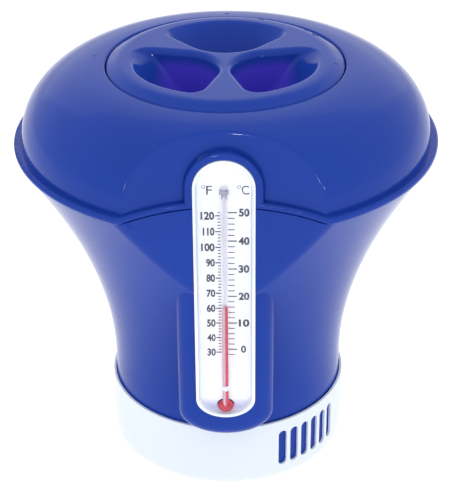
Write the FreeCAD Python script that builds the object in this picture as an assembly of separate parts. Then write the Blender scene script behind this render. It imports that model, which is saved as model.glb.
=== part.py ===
import FreeCAD, Part
import math
import os

# Floating chlorine dispenser with a thermometer.  Millimetres, +Z up, front towards -Y.
# The origin is the centre of the flat underside of the dosing cup, on the floor.

# ---- overall sizes ----
FLANGE_R = 92.5            # outer radius of the float's rim
FLANGE_TOP_Z = 154.6       # parting plane between the upper and the lower shell
FLANGE_T = 3.0             # thickness of the rim
SHELL_TOP_Z = 186.4        # top of the upper shell, beside the lid
WAIST_R = 52.8             # outer radius of the narrow part of the lower shell
WAIST_TOP_Z = 44.0         # above this height the lower shell flares out
FLARE_POWER = 1.88         # how sharply the flare curves
FLARE_INSET = 0.8          # the flare ends this far inside the rim
SHELL_WALL = 2.2           # wall of both shells

# ---- upper shell ----
SKIRT_INSET = 3.4          # the dome starts this far inside the rim
DOME_POWER = 2.08          # 2 is an ellipse, more is fuller
DOME_STEPS = 10            # stations along the dome's curve
LID_GAP = 0.4              # gap round the lid's edge
MOUTH_ROUND = 0.9          # rounding of the shell's edge beside the lid
SEAT_T = 2.2               # thickness of the ledge that the lid sits on
NECK_WALL = 2.2            # wall of the filling neck

# ---- niche in the front, behind and above the thermometer ----
NICHE_R = 65.0             # radius of the scooped wall
UPPER_NICHE_Y = -65.0      # scooped wall of the upper shell, on the centre line
LOWER_NICHE_Y = -67.5      # scooped wall of the lower shell, on the centre line
NICHE_EDGE_R = 1.6         # rounding where the niche meets the dome
NICHE_BELL_R = 4.5         # rounding where the niche meets the bell
CUSP_R = 4.0               # rounding of the rim where the niche cuts it
LIP_W = 5.6                # width of the joint face between the shells
RIB_T = 1.6                # locating rib inside the joint
RIB_H = 2.8
RIB_CLEARANCE = 0.15

# ---- thermometer housing on the lower shell ----
PILLAR_HALF_W = 20.7
PILLAR_FRONT_Y = -67.4
PILLAR_BOTTOM_Z = 36.3
PILLAR_BOTTOM_RISE = 13.0  # the bottom is half an ellipse this high
PILLAR_EDGE_R = 6.5        # rounding of the housing's front edges

# ---- thermometer ----
PANEL_HALF_W = 12.7
PANEL_TOP_Z = 173.4
PANEL_BOTTOM_Z = 49.0
PANEL_BOTTOM_RISE = 9.5
PANEL_FRONT_Y = -69.8      # front of the clear cover
POCKET_CLEARANCE = 0.15    # round the panel
POCKET_WALL = 2.5          # wall of the pocket that holds the panel
RIM_W = 0.8                # the tray's rim, which runs round the clear cover
RIM_SETBACK = 0.9          # the rim ends this far behind the front of the cover
RIM_ROUND = 0.35
LENS_WALL = 0.9
LENS_EDGE_R = 0.8
LENS_CLEARANCE = 0.05      # between the cover and the tray's rim
TRAY_T = 1.3
CARD_T = 0.5
CARD_INSET = 0.1           # card inside the cover's wall
STACK_CLEARANCE = 0.1      # behind the tray, and in front of the tube
STEM_R = 1.3               # glass tube, outside
BORE_R = 0.55              # glass tube, inside
COLUMN_CLEARANCE = 0.05
BULB_HALF_W = 3.5
BULB_HALF_H = 3.0
BULB_HALF_D = 1.9
BULB_WALL = 0.55
BULB_CLEARANCE = 0.2       # under the bulb
STEM_TOP_Z = 161.5
SPIRIT_TOP_Z = 104.4       # reads sixteen degrees Celsius
STRAP_HALF_W = 3.4
STRAP_CLEARANCE = 0.02     # round the glass tube
UPPER_STRAP_Z = 158.5
UPPER_STRAP_H = 3.2
LOWER_STRAP_Z = 63.4
LOWER_STRAP_H = 2.4

# ---- lid ----
LID_R = 51.1
LID_EDGE_T = 3.6           # thickness of the lid's edge
LID_CROWN = 2.4            # the lid's middle stands this much above its edge
LID_CROWN_R = 44.0         # the crown is level inside this radius
LID_WALL = 2.2
LID_EDGE_R = 0.6           # bevel of the lid's top edge
LID_SAG = 0.36             # share of the crown lost half way down its slope
LID_REST_GAP = 0.3         # between the lid and its seat
PLUG_WALL = 2.2            # the lid's plug, which carries the locking lugs
PLUG_DEPTH = 18.0          # the plug reaches this far below the shell's top
POCKET_COUNT = 3
GRIP_MIDDLE_SHARE = 0.584  # middle of each finger pocket, as a share of the plug's bore
GRIP_INNER_SHARE = 0.431   # from there to the pocket's inner wall
GRIP_OUTER_SHARE = 1.005   # outer wall of the finger pockets, at the top
GRIP_CURVE_SHARE = 0.364   # centre of the outer wall's curve, deep in the pocket
GRIP_SIDE_DEG = 49.0       # beyond this angle the inner wall runs straight
GRIP_DRAFT = 0.03          # the inner wall closes in by this much of the depth
GRIP_OUTER_SLOPE = 0.627   # the outer wall leans in by this much of the depth
GRIP_SHOULDER = 1.8        # depth over which the outer wall tightens its curve
GRIP_TOP_CORNER = 8.5      # the higher, the tighter the pocket's corners
GRIP_DEEP_CORNER = 26.0
GRIP_DEPTH_SHARE = 0.6064  # the pockets' depth, as a share of the plug's bore
GRIP_LEVELS = (0.0, 0.082, 0.204, 0.449, 0.735, 1.0)   # shares of that depth
GRIP_POINTS = 72
GRIP_WALL = 1.8
GRIP_LIP_SHARE = 0.0743    # rounding of the finger pockets' rims, as a share of the plug's bore

# ---- bayonet between the lid and the filling neck ----
LUG_COUNT = 3
LUG_ANGLE = 24.0
LUG_H = 2.4
LUG_REACH = 1.7
LUG_OFFSET_DEG = -20.0     # lug from the middle of its entry gap
LID_TURN_DEG = 35.0        # the lid locks over this angle
ENTRY_GAP_DEG = 70.0       # gap between two ledges, where a lug goes in
LEDGE_H = 2.4
END_STOP_DEG = 3.0         # width of the ribs that stop the lugs
LEDGE_ABOVE_LUG = 0.5
PLUG_CLEARANCE = 2.0       # between the plug and the neck
LEDGE_CLEARANCE = 0.4

# ---- seals ----
LID_SEAL_R = 1.1           # radius of the lid seal's cord
LID_SEAL_DEPTH = 8.8       # below the shell's top
LID_SEAL_CLEARANCE = 0.3
TUBE_SEAL_R = 0.9
TUBE_SEAL_CLEARANCE = 0.05
TUBE_GROOVE_MARGIN = 0.3   # above and below the tube seals

# ---- tablet tube ----
TUBE_BORE_R = 41.0         # lets 76 mm tablets drop
TUBE_WALL = 1.8
SOCKET_CLEARANCE = 0.2
SOCKET_WALL = 2.2
SOCKET_H = 10.0
TUBE_END_GAP = 0.3
TUBE_BELOW_PLUG = 2.4      # from the lid's plug down to the tube's top
FILL_STEP = 1.6            # the filling neck is this much wider than the tube's socket
SINK = 0.5                 # how far one part of a moulding is sunk into the next

# ---- dosing neck, grate and dosing cup ----
CUP_R = 54.4
CUP_WALL = 1.1
CUP_FLOOR = 2.0
CUP_TOP_Z = 32.0
CUP_BOTTOM_ROUND = 4.0
CUP_INNER_ROUND = 3.0
CUP_TOP_ROUND = 0.3
CUP_CLEARANCE = 0.2        # between the cup and the dosing neck
CUP_TOP_GAP = 0.2          # between the cup's top edge and the shell
DOSE_NECK_WALL = 2.4
FLOOR_GAP = 3.2            # between the cup's floor and the dosing neck
FLOAT_FLOOR_T = 3.0        # plate that closes the float chamber
GRATE_T = 2.0
GRATE_ABOVE = 0.8          # the grate sits this far above the dosing neck's end
GRATE_CLEARANCE = 0.1
GRATE_GROOVE = 0.5
GRATE_BARS = 5
GRATE_GAP_W = 6.0
GRATE_RIM = 4.0
SLOT_GROUPS = 2
SLOTS_PER_GROUP = 6
SLOT_FIRST_DEG = 27.9      # from the front, towards +X
SLOT_PITCH_DEG = 6.5
SLOT_W = 4.2
SLOT_BOTTOM_Z = 7.4
SLOT_TOP_Z = 26.2
TURN_DEG = 60.0            # travel of the dosing cup
WINDOW_MARGIN_DEG = 2.8
BEAD_REACH = 0.8           # snap bead that keeps the cup on the neck
BEAD_H = 1.6
BEAD_Z = 28.0
BEAD_CLEARANCE = 0.3
STOP_ANGLE = 8.0
STOP_REACH = 1.0
STOP_BOTTOM_Z = 30.0
STOP_PLAY_DEG = 0.5

# ---- sizes worked out from those above ----
SKIRT_R = FLANGE_R - SKIRT_INSET
FLARE_R = FLANGE_R - FLARE_INSET
FLANGE_BOTTOM_Z = FLANGE_TOP_Z - FLANGE_T
MOUTH_R = LID_R + LID_GAP
LID_BOTTOM_Z = SHELL_TOP_Z - LID_EDGE_T
SEAT_Z = LID_BOTTOM_Z - LID_REST_GAP
PLUG_BOTTOM_Z = SHELL_TOP_Z - PLUG_DEPTH
LID_SEAL_Z = SHELL_TOP_Z - LID_SEAL_DEPTH
LID_TOP_Z = SHELL_TOP_Z + LID_CROWN
TUBE_R = TUBE_BORE_R + TUBE_WALL
SOCKET_R = TUBE_R + SOCKET_CLEARANCE
FILL_BORE_R = SOCKET_R + FILL_STEP
FILL_NECK_R = FILL_BORE_R + NECK_WALL
PLUG_R = FILL_BORE_R - PLUG_CLEARANCE
PLUG_BORE_R = PLUG_R - PLUG_WALL
GRIP_MIDDLE_R = GRIP_MIDDLE_SHARE * PLUG_BORE_R
GRIP_INNER_R = GRIP_INNER_SHARE * PLUG_BORE_R
GRIP_OUTER_R = GRIP_OUTER_SHARE * PLUG_BORE_R
GRIP_OUTER_CENTRE = GRIP_CURVE_SHARE * PLUG_BORE_R
GRIP_DEPTH = GRIP_DEPTH_SHARE * PLUG_BORE_R
GRIP_LIP_R = GRIP_LIP_SHARE * PLUG_BORE_R
LUG_R = PLUG_R + LUG_REACH
LEDGE_R = PLUG_R + LEDGE_CLEARANCE
LEDGE_Z = PLUG_BOTTOM_Z + LUG_H + LEDGE_ABOVE_LUG
TUBE_TOP_Z = PLUG_BOTTOM_Z - TUBE_BELOW_PLUG
FILL_SOCKET_TOP_Z = TUBE_TOP_Z + TUBE_END_GAP
FILL_SOCKET_BOTTOM_Z = FILL_SOCKET_TOP_Z - SOCKET_H
SHELL_BOTTOM_Z = CUP_TOP_Z + CUP_TOP_GAP
FLOAT_FLOOR_Z = SHELL_BOTTOM_Z + FLOAT_FLOOR_T
TUBE_BOTTOM_Z = FLOAT_FLOOR_Z
CUP_BORE_R = CUP_R - CUP_WALL
DOSE_NECK_R = CUP_BORE_R - CUP_CLEARANCE
DOSE_BORE_R = DOSE_NECK_R - DOSE_NECK_WALL
DOSE_NECK_BOTTOM_Z = CUP_FLOOR + FLOOR_GAP
GRATE_Z = DOSE_NECK_BOTTOM_Z + GRATE_ABOVE
PANEL_TOP_CENTRE_Z = PANEL_TOP_Z - PANEL_HALF_W
LENS_HALF_W = PANEL_HALF_W - RIM_W
LENS_BOTTOM_Z = PANEL_BOTTOM_Z + RIM_W
LENS_BOTTOM_RISE = PANEL_BOTTOM_RISE - RIM_W / 2
BULB_Z = LENS_BOTTOM_Z + LENS_WALL + BULB_CLEARANCE + BULB_HALF_H
LENS_BACK_Y = PANEL_FRONT_Y + LENS_WALL + STACK_CLEARANCE + 2 * STEM_R + STACK_CLEARANCE + CARD_T
TRAY_BACK_Y = LENS_BACK_Y + TRAY_T
POCKET_FLOOR_Y = TRAY_BACK_Y + STACK_CLEARANCE
STEM_Y = PANEL_FRONT_Y + LENS_WALL + STACK_CLEARANCE + STEM_R
BULB_Y = PANEL_FRONT_Y + LENS_WALL + STACK_CLEARANCE + BULB_HALF_D

Z_AXIS = FreeCAD.Vector(0, 0, 1)
CENTRE = FreeCAD.Vector(0, 0, 0)


# ---- helpers ----
def vec(x, y, z):
    return FreeCAD.Vector(x, y, z)


def drum(radius, low, high):
    """A solid cylinder about the object's axis, between two heights."""
    return Part.makeCylinder(radius, high - low, vec(0, 0, low))


def ring(outer, inner, low, high):
    return drum(outer, low, high).cut(drum(inner, low - 1, high + 1))


def o_ring(mid_radius, cord_radius, height):
    return Part.makeTorus(mid_radius, cord_radius, vec(0, 0, height), Z_AXIS)


def turned(shape, degrees):
    copy = shape.copy()
    copy.rotate(CENTRE, Z_AXIS, degrees)
    return copy


def around(shape, count):
    """Copies of a shape, evenly spaced about the object's axis, fused."""
    copies = [turned(shape, 360.0 * k / count) for k in range(1, count)]
    return shape.fuse(copies)


def wedge(start_deg, end_deg, low, high, reach=120.0):
    """A slice of a cylinder between two azimuths, counted from the front towards +X."""
    slice_ = Part.makeCylinder(reach, high - low, vec(0, 0, low), Z_AXIS, end_deg - start_deg)
    slice_.rotate(CENTRE, Z_AXIS, start_deg - 90.0)
    return slice_


def revolved(edges):
    """Turns a closed outline in the XZ plane about the object's axis."""
    face = Part.Face(Part.Wire(edges))
    return face.revolve(CENTRE, Z_AXIS, 360)


def lines(points):
    vectors = [vec(r, 0, z) for r, z in points]
    return [Part.makeLine(a, b) for a, b in zip(vectors, vectors[1:])]


def smooth(points):
    curve = Part.BSplineCurve()
    curve.interpolate([vec(r, 0, z) for r, z in points])
    return curve.toShape()


def biggest(shape):
    """The largest solid of a shape, so that a cut leaves no loose slivers."""
    return max(shape.Solids, key=lambda solid: solid.Volume)


def rounded(shape, radius, wanted):
    """Rounds the edges that the test picks, at a radius."""
    edges = [edge for edge in shape.Edges if wanted(edge)]
    return shape.makeFillet(radius, edges)


def capsule(half_w, top_centre_z, bottom_z, rise, front_y, back_y):
    """An upright plate with a round top and a bottom that is half an ellipse."""
    bottom_centre = vec(0, front_y, bottom_z + rise)
    right_top = vec(half_w, front_y, top_centre_z)
    left_top = vec(-half_w, front_y, top_centre_z)
    right_low = vec(half_w, front_y, bottom_z + rise)
    left_low = vec(-half_w, front_y, bottom_z + rise)
    top = Part.Arc(left_top, vec(0, front_y, top_centre_z + half_w), right_top).toShape()
    major = vec(half_w, front_y, bottom_z + rise)
    minor = vec(0, front_y, bottom_z)
    ellipse = Part.Ellipse(major, minor, bottom_centre)
    if rise > half_w:
        ellipse = Part.Ellipse(minor, major, bottom_centre)
    start = ellipse.parameter(left_low)
    end = ellipse.parameter(right_low)
    low = ellipse.parameter(minor)
    if not min(start, end) < low < max(start, end):
        start, end = max(start, end), min(start, end) + 2 * math.pi
    bottom = Part.ArcOfEllipse(ellipse, min(start, end), max(start, end)).toShape()
    sides = [Part.makeLine(right_top, right_low), Part.makeLine(left_low, left_top)]
    wire = Part.Wire(Part.__sortEdges__([top, bottom] + sides))
    return Part.Face(wire).extrude(vec(0, back_y - front_y, 0))


def scoop(wall_y, radius, low, high):
    """The upright cylinder that the niche is scooped with."""
    return Part.makeCylinder(radius, high - low, vec(0, wall_y - NICHE_R, low))


# ---- profiles of the two shells ----
def dome_points(inset):
    """The dome's curve, from its foot to the lid's mouth, moved inwards by a wall."""
    half_w = SKIRT_R - MOUTH_R - inset + MOUTH_ROUND
    height = SHELL_TOP_Z - FLANGE_TOP_Z - inset
    points = []
    for k in range(DOME_STEPS + 1):
        angle = 0.5 * math.pi * k / DOME_STEPS
        across = math.cos(angle) ** (2.0 / DOME_POWER) if k < DOME_STEPS else 0.0
        up = math.sin(angle) ** (2.0 / DOME_POWER)
        points.append((MOUTH_R - MOUTH_ROUND + half_w * across, FLANGE_TOP_Z + height * up))
    return points


def dome_solid(inset):
    points = dome_points(inset)
    top = points[-1]
    closing = [top, (0, top[1]), (0, FLANGE_TOP_Z), points[0]]
    return revolved([smooth(points)] + lines(closing))


def flare_points(inset):
    """The bell of the lower shell, from its waist to the underside of the rim."""
    points = []
    steps = 6
    for k in range(steps + 1):
        share = k / steps
        z = WAIST_TOP_Z + (FLANGE_BOTTOM_Z - WAIST_TOP_Z) * share
        points.append((WAIST_R - inset + (FLARE_R - WAIST_R) * share ** FLARE_POWER, z))
    return points


def bell_solid(inset, low, high):
    """The lower shell's bell; outside its flare the radius stays as it is at the ends."""
    points = flare_points(inset)
    curve = Part.BSplineCurve()
    curve.interpolate(Points=[vec(r, 0, z) for r, z in points])
    first = points[0]
    last = points[-1]
    closing = [last, (last[0], high), (0, high), (0, low), (first[0], low), first]
    return revolved([curve.toShape()] + lines(closing))


# ---- upper shell ----
def make_upper_shell():
    below = FLANGE_TOP_Z - 1
    above = LID_TOP_Z + 1
    outside = dome_solid(0).cut(scoop(UPPER_NICHE_Y, NICHE_R, below, above))
    outside = rounded(outside, NICHE_EDGE_R, is_niche_arch)
    inside = dome_solid(SHELL_WALL).cut(scoop(UPPER_NICHE_Y, NICHE_R + SHELL_WALL, below, above))
    boss = capsule(PANEL_HALF_W + POCKET_WALL, PANEL_TOP_CENTRE_Z, PANEL_BOTTOM_Z - POCKET_WALL,
                   PANEL_BOTTOM_RISE, PILLAR_FRONT_Y, POCKET_FLOOR_Y + POCKET_WALL)
    boss = boss.common(drum(SKIRT_R, FLANGE_TOP_Z, LID_TOP_Z))
    boss = boss.cut(scoop(UPPER_NICHE_Y, NICHE_R, below, above))
    neck = drum(FILL_NECK_R, FILL_SOCKET_BOTTOM_Z, SEAT_Z)
    seat = drum(MOUTH_R + SHELL_WALL, SEAT_Z - SEAT_T, SEAT_Z)
    shell = outside.cut(inside).fuse([boss, neck, seat])
    shell = shell.cut(drum(MOUTH_R, SEAT_Z, above))
    shell = shell.cut(drum(FILL_BORE_R, FILL_SOCKET_TOP_Z, above))
    shell = shell.cut(drum(SOCKET_R, FILL_SOCKET_BOTTOM_Z - 1, above))
    shell = shell.cut(seal_groove(FILL_SOCKET_BOTTOM_Z + SOCKET_H / 2))
    shell = shell.fuse(neck_ledges())
    shell = shell.cut(panel_pocket())
    shell = rounded(shell, MOUTH_ROUND, is_mouth_edge)
    return biggest(shell.removeSplitter())


def is_niche_arch(edge):
    """The curved edge between the dome and the scooped wall, above the parting plane."""
    box = edge.BoundBox
    return box.YMax < UPPER_NICHE_Y + 5 and box.ZMax > FLANGE_TOP_Z + 10 and box.ZLength > 5


def is_mouth_edge(edge):
    box = edge.BoundBox
    level = box.ZLength < 0.01 and abs(box.ZMax - SHELL_TOP_Z) < 0.01
    return level and abs(box.XMax - MOUTH_R) < 0.05


def seal_groove(height):
    depth_r = TUBE_R + 2 * TUBE_SEAL_R + 2 * TUBE_SEAL_CLEARANCE
    half_h = TUBE_SEAL_R + TUBE_GROOVE_MARGIN
    return drum(depth_r, height - half_h, height + half_h)


def neck_ledges():
    """Three ledges that the lid's lugs turn under, with a rib at each end of the turn."""
    unlocked = LUG_OFFSET_DEG + LUG_ANGLE / 2 + STOP_PLAY_DEG
    locked = LUG_OFFSET_DEG - LUG_ANGLE / 2 - LID_TURN_DEG - STOP_PLAY_DEG
    top = LEDGE_Z + LEDGE_H
    ledge_band = ring(FILL_BORE_R + SINK, LEDGE_R, LEDGE_Z, top)
    rib_band = ring(FILL_BORE_R + SINK, LEDGE_R, PLUG_BOTTOM_Z, top)
    ledge = ledge_band.common(wedge(locked - END_STOP_DEG, -ENTRY_GAP_DEG / 2, LEDGE_Z - 1, top + 1))
    locked_rib = rib_band.common(wedge(locked - END_STOP_DEG, locked, PLUG_BOTTOM_Z - 1, top + 1))
    unlocked_rib = rib_band.common(wedge(unlocked, unlocked + END_STOP_DEG, PLUG_BOTTOM_Z - 1, top + 1))
    return around(ledge.fuse([locked_rib, unlocked_rib]), LUG_COUNT).Solids


# ---- lower shell ----
def rim_region(radius, wall_y, niche_r, low, high):
    """The rim's outline: a disc with the niche scooped out of its front."""
    return drum(radius, low, high).cut(scoop(wall_y, niche_r, low - 1, high + 1))


def pillar(inset):
    """The thermometer housing, running up behind the niche wall."""
    body = capsule(PILLAR_HALF_W - inset, FLANGE_BOTTOM_Z - 30 + PILLAR_HALF_W,
                   PILLAR_BOTTOM_Z + inset, PILLAR_BOTTOM_RISE - inset,
                   PILLAR_FRONT_Y + inset, -WAIST_R * 0.7)
    radius = PILLAR_EDGE_R - inset
    return rounded(body, radius, lambda edge: abs(edge.BoundBox.YMax - PILLAR_FRONT_Y - inset) < 0.01)


def panel_pocket():
    half_w = PANEL_HALF_W + POCKET_CLEARANCE
    return capsule(half_w, PANEL_TOP_CENTRE_Z, PANEL_BOTTOM_Z - POCKET_CLEARANCE,
                   PANEL_BOTTOM_RISE, PILLAR_FRONT_Y - 30, POCKET_FLOOR_Y)


def bell_with_niche():
    """The outside of the bell, up to the rim, with the niche scooped out and its edge rounded."""
    bell = bell_solid(0, SHELL_BOTTOM_Z, FLANGE_TOP_Z)
    bell = bell.common(drum(FLANGE_R + 1, SHELL_BOTTOM_Z, FLANGE_BOTTOM_Z))
    bell = bell.cut(scoop(LOWER_NICHE_Y, NICHE_R, 0, FLANGE_TOP_Z))
    return rounded(bell, NICHE_BELL_R, is_bell_arch)


def is_bell_arch(edge):
    """The curved edge between the bell and the scooped wall, below the rim."""
    box = edge.BoundBox
    return box.ZLength > 10 and box.YMax < LOWER_NICHE_Y + 5


def rim_ring():
    """The rim, whose inside follows the niche; its cusps and its edges are rounded."""
    rim = rim_region(FLANGE_R, LOWER_NICHE_Y, NICHE_R, FLANGE_BOTTOM_Z, FLANGE_TOP_Z)
    rim = rounded(rim, CUSP_R, lambda edge: edge.BoundBox.ZLength > FLANGE_T / 2 and edge.BoundBox.YMax < 0)
    rim = rounded(rim, FLANGE_T * 0.42, lambda edge: edge.BoundBox.ZLength < 0.01)
    return rim.cut(lip_opening(FLANGE_BOTTOM_Z - 1, FLANGE_TOP_Z + 1))


def make_lower_shell():
    top = FLANGE_TOP_Z
    outside = bell_with_niche().fuse(pillar(0).common(drum(FLANGE_R, SHELL_BOTTOM_Z, top)))
    inside = bell_solid(SHELL_WALL, FLOAT_FLOOR_Z, top + 1)
    inside = inside.cut(scoop(LOWER_NICHE_Y, NICHE_R + SHELL_WALL, 0, top + 2))
    inside = inside.fuse(pillar(SHELL_WALL).common(drum(FLANGE_R, FLOAT_FLOOR_Z, top)))
    backing = capsule(PANEL_HALF_W + POCKET_WALL, PANEL_TOP_CENTRE_Z, PANEL_BOTTOM_Z - POCKET_WALL,
                      PANEL_BOTTOM_RISE, PILLAR_FRONT_Y + 1, POCKET_FLOOR_Y + POCKET_WALL)
    backing = backing.common(drum(FLANGE_R, SHELL_BOTTOM_Z, top))
    socket = drum(SOCKET_R + SOCKET_WALL, FLOAT_FLOOR_Z - 1, TUBE_BOTTOM_Z + SOCKET_H)
    neck = ring(DOSE_NECK_R, DOSE_BORE_R, DOSE_NECK_BOTTOM_Z, SHELL_BOTTOM_Z)
    shell = outside.cut(inside).fuse([rim_ring(), backing, socket, neck, shell_rib()])
    shell = shell.cut(drum(SOCKET_R, TUBE_BOTTOM_Z, TUBE_BOTTOM_Z + SOCKET_H + 1))
    shell = shell.cut(drum(TUBE_BORE_R, SHELL_BOTTOM_Z - 1, FLOAT_FLOOR_Z + 1))
    shell = shell.cut(seal_groove(TUBE_BOTTOM_Z + SOCKET_H / 2))
    shell = shell.cut(drum(DOSE_BORE_R + GRATE_GROOVE, GRATE_Z - GRATE_CLEARANCE,
                           GRATE_Z + GRATE_T + GRATE_CLEARANCE))
    shell = shell.cut([bead_groove(), stop_recess(), dosing_windows(), panel_pocket()])
    return biggest(shell.removeSplitter())


def lip_opening(low, high):
    """The opening inside the joint face, which follows the rim and the niche."""
    niche_r = NICHE_R + (LOWER_NICHE_Y - UPPER_NICHE_Y) * -1 + LIP_W
    return rim_region(SKIRT_R - LIP_W, LOWER_NICHE_Y, niche_r, low, high)


def shell_rib():
    """The rib on the joint face that the upper shell drops over."""
    low = FLANGE_TOP_Z - SINK
    high = FLANGE_TOP_Z + RIB_H
    near = SHELL_WALL + RIB_CLEARANCE
    far = near + RIB_T
    outer = rim_region(SKIRT_R - near, UPPER_NICHE_Y, NICHE_R + near, low, high)
    inner = rim_region(SKIRT_R - far, UPPER_NICHE_Y, NICHE_R + far, low - 1, high + 1)
    rib = outer.cut(inner)
    pocket_side = PANEL_HALF_W + POCKET_WALL + RIB_CLEARANCE
    return rib.cut(Part.makeBox(2 * pocket_side, 60, 40, vec(-pocket_side, -100, FLANGE_TOP_Z)))


def bead_groove():
    """Groove in the dosing neck for the cup's snap bead."""
    half_h = BEAD_H / 2 + BEAD_CLEARANCE
    depth_r = CUP_BORE_R - BEAD_REACH - BEAD_CLEARANCE
    return ring(DOSE_NECK_R + 1, depth_r, BEAD_Z - half_h, BEAD_Z + half_h)


def stop_recess():
    """Recess in the dosing neck that the cup's stop lug turns in."""
    low = STOP_BOTTOM_Z - BEAD_CLEARANCE
    band = ring(DOSE_NECK_R + 1, CUP_BORE_R - STOP_REACH - BEAD_CLEARANCE, low, SHELL_BOTTOM_Z)
    play = STOP_ANGLE / 2 + STOP_PLAY_DEG
    return band.common(wedge(-play, TURN_DEG + play, low, SHELL_BOTTOM_Z))


def dosing_windows():
    """Openings in the dosing neck, which the cup's slots reach as it turns."""
    last = SLOT_FIRST_DEG + (SLOTS_PER_GROUP - 1) * SLOT_PITCH_DEG
    start = SLOT_FIRST_DEG + TURN_DEG - WINDOW_MARGIN_DEG
    end = last + TURN_DEG + WINDOW_MARGIN_DEG
    low = GRATE_Z + GRATE_T + 1
    window = wedge(start, end, low, SLOT_TOP_Z).cut(drum(DOSE_BORE_R - 3, low, SLOT_TOP_Z))
    return around(window, SLOT_GROUPS)


# ---- tablet tube, its seals and the grate ----
def make_tablet_tube():
    return ring(TUBE_R, TUBE_BORE_R, TUBE_BOTTOM_Z, TUBE_TOP_Z)


def make_tube_seal(height):
    mid = TUBE_R + TUBE_SEAL_CLEARANCE + TUBE_SEAL_R
    return o_ring(mid, TUBE_SEAL_R, height)


def make_tablet_grate():
    radius = DOSE_BORE_R + GRATE_GROOVE - GRATE_CLEARANCE
    plate = drum(radius, GRATE_Z, GRATE_Z + GRATE_T)
    open_r = DOSE_BORE_R - GRATE_RIM
    pitch = 2 * open_r / GRATE_BARS
    for k in range(GRATE_BARS):
        middle = -open_r + pitch * (k + 0.5)
        bar = Part.makeBox(2 * open_r, GRATE_GAP_W, GRATE_T * 3, vec(-open_r, middle - GRATE_GAP_W / 2, 0))
        gap = bar.common(drum(open_r, 0, GRATE_T * 4))
        plate = plate.cut(gap)
    cross_rib = Part.makeBox(GRATE_RIM, 2 * open_r + 1, GRATE_T, vec(-GRATE_RIM / 2, -open_r - 0.5, GRATE_Z))
    return plate.fuse(cross_rib).removeSplitter()


# ---- dosing cup ----
def make_dosing_cup():
    cup = drum(CUP_R, 0, CUP_TOP_Z)
    cup = rounded(cup, CUP_BOTTOM_ROUND, lambda edge: edge.BoundBox.ZMax < 0.01)
    cup = rounded(cup, CUP_TOP_ROUND, lambda edge: edge.BoundBox.ZMin > CUP_TOP_Z - 0.01)
    hollow = drum(CUP_BORE_R, CUP_FLOOR, CUP_TOP_Z + 1)
    hollow = rounded(hollow, CUP_INNER_ROUND, lambda edge: edge.BoundBox.ZMax < CUP_FLOOR + 0.01)
    cup = cup.cut(hollow)
    bead = ring(CUP_BORE_R + CUP_WALL / 2, CUP_BORE_R - BEAD_REACH, BEAD_Z - BEAD_H / 2, BEAD_Z + BEAD_H / 2)
    cup = cup.fuse([bead, stop_lug()])
    slots = []
    for group in range(SLOT_GROUPS):
        for k in range(SLOTS_PER_GROUP):
            azimuth = SLOT_FIRST_DEG + k * SLOT_PITCH_DEG + group * 360.0 / SLOT_GROUPS
            slots.append(turned(dosing_slot(), azimuth))
    return biggest(cup.cut(slots))


def stop_lug():
    """Lug inside the cup that stops it at both ends of its turn."""
    top = CUP_TOP_Z - CUP_TOP_ROUND
    band = ring(CUP_BORE_R + CUP_WALL / 2, CUP_BORE_R - STOP_REACH, STOP_BOTTOM_Z, top)
    return band.common(wedge(-STOP_ANGLE / 2, STOP_ANGLE / 2, STOP_BOTTOM_Z, top))


def dosing_slot():
    """One upright slot with round ends, at the front."""
    radius = SLOT_W / 2
    inner_y = -(CUP_BORE_R - 3)
    outer_y = -(CUP_R + 3)
    reach = outer_y - inner_y
    middle = Part.makeBox(SLOT_W, -reach, SLOT_TOP_Z - SLOT_BOTTOM_Z - SLOT_W,
                          vec(-radius, outer_y, SLOT_BOTTOM_Z + radius))
    low_end = Part.makeCylinder(radius, -reach, vec(0, outer_y, SLOT_BOTTOM_Z + radius), vec(0, 1, 0))
    high_end = Part.makeCylinder(radius, -reach, vec(0, outer_y, SLOT_TOP_Z - radius), vec(0, 1, 0))
    return middle.fuse([low_end, high_end]).removeSplitter()


# ---- lid and its seal ----
def grip_outline(depth, grow):
    """Points round a finger pocket at a depth; the pocket at the back, made wider by grow."""
    inner = GRIP_INNER_R - GRIP_DRAFT * depth
    centre = GRIP_OUTER_CENTRE * (1 - math.exp(-depth / GRIP_SHOULDER))
    outer = GRIP_OUTER_R - GRIP_OUTER_SLOPE * depth - centre
    deep = 1 - math.exp(-depth / GRIP_SHOULDER)
    tight = GRIP_TOP_CORNER + (GRIP_DEEP_CORNER - GRIP_TOP_CORNER) * deep
    away = GRIP_MIDDLE_R - centre
    points = []
    for k in range(GRIP_POINTS):
        angle = 2 * math.pi * k / GRIP_POINTS
        turn = min(angle, 2 * math.pi - angle)
        past = max(0.0, turn - math.radians(GRIP_SIDE_DEG))
        near = max(math.cos(past), 0.0) / inner
        along = -away * math.cos(turn)
        far = 1 / (math.sqrt(along * along - away * away + outer * outer) - along)
        reach = (near ** tight + far ** tight) ** (-1 / tight) + grow
        points.append((reach * math.sin(angle), GRIP_MIDDLE_R - reach * math.cos(angle)))
    return points


def grip_pocket(grow):
    """One finger pocket, at the back, as a smooth solid through its outlines."""
    wires = []
    for level in GRIP_LEVELS:
        z = LID_TOP_Z - level * (GRIP_DEPTH + grow)
        curve = Part.BSplineCurve()
        points = [vec(x, y, z) for x, y in grip_outline(level * GRIP_DEPTH, grow)]
        curve.interpolate(Points=points, PeriodicFlag=True)
        wires.append(Part.Wire(curve.toShape()))
    return Part.makeLoft(wires, True, False)


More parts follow.
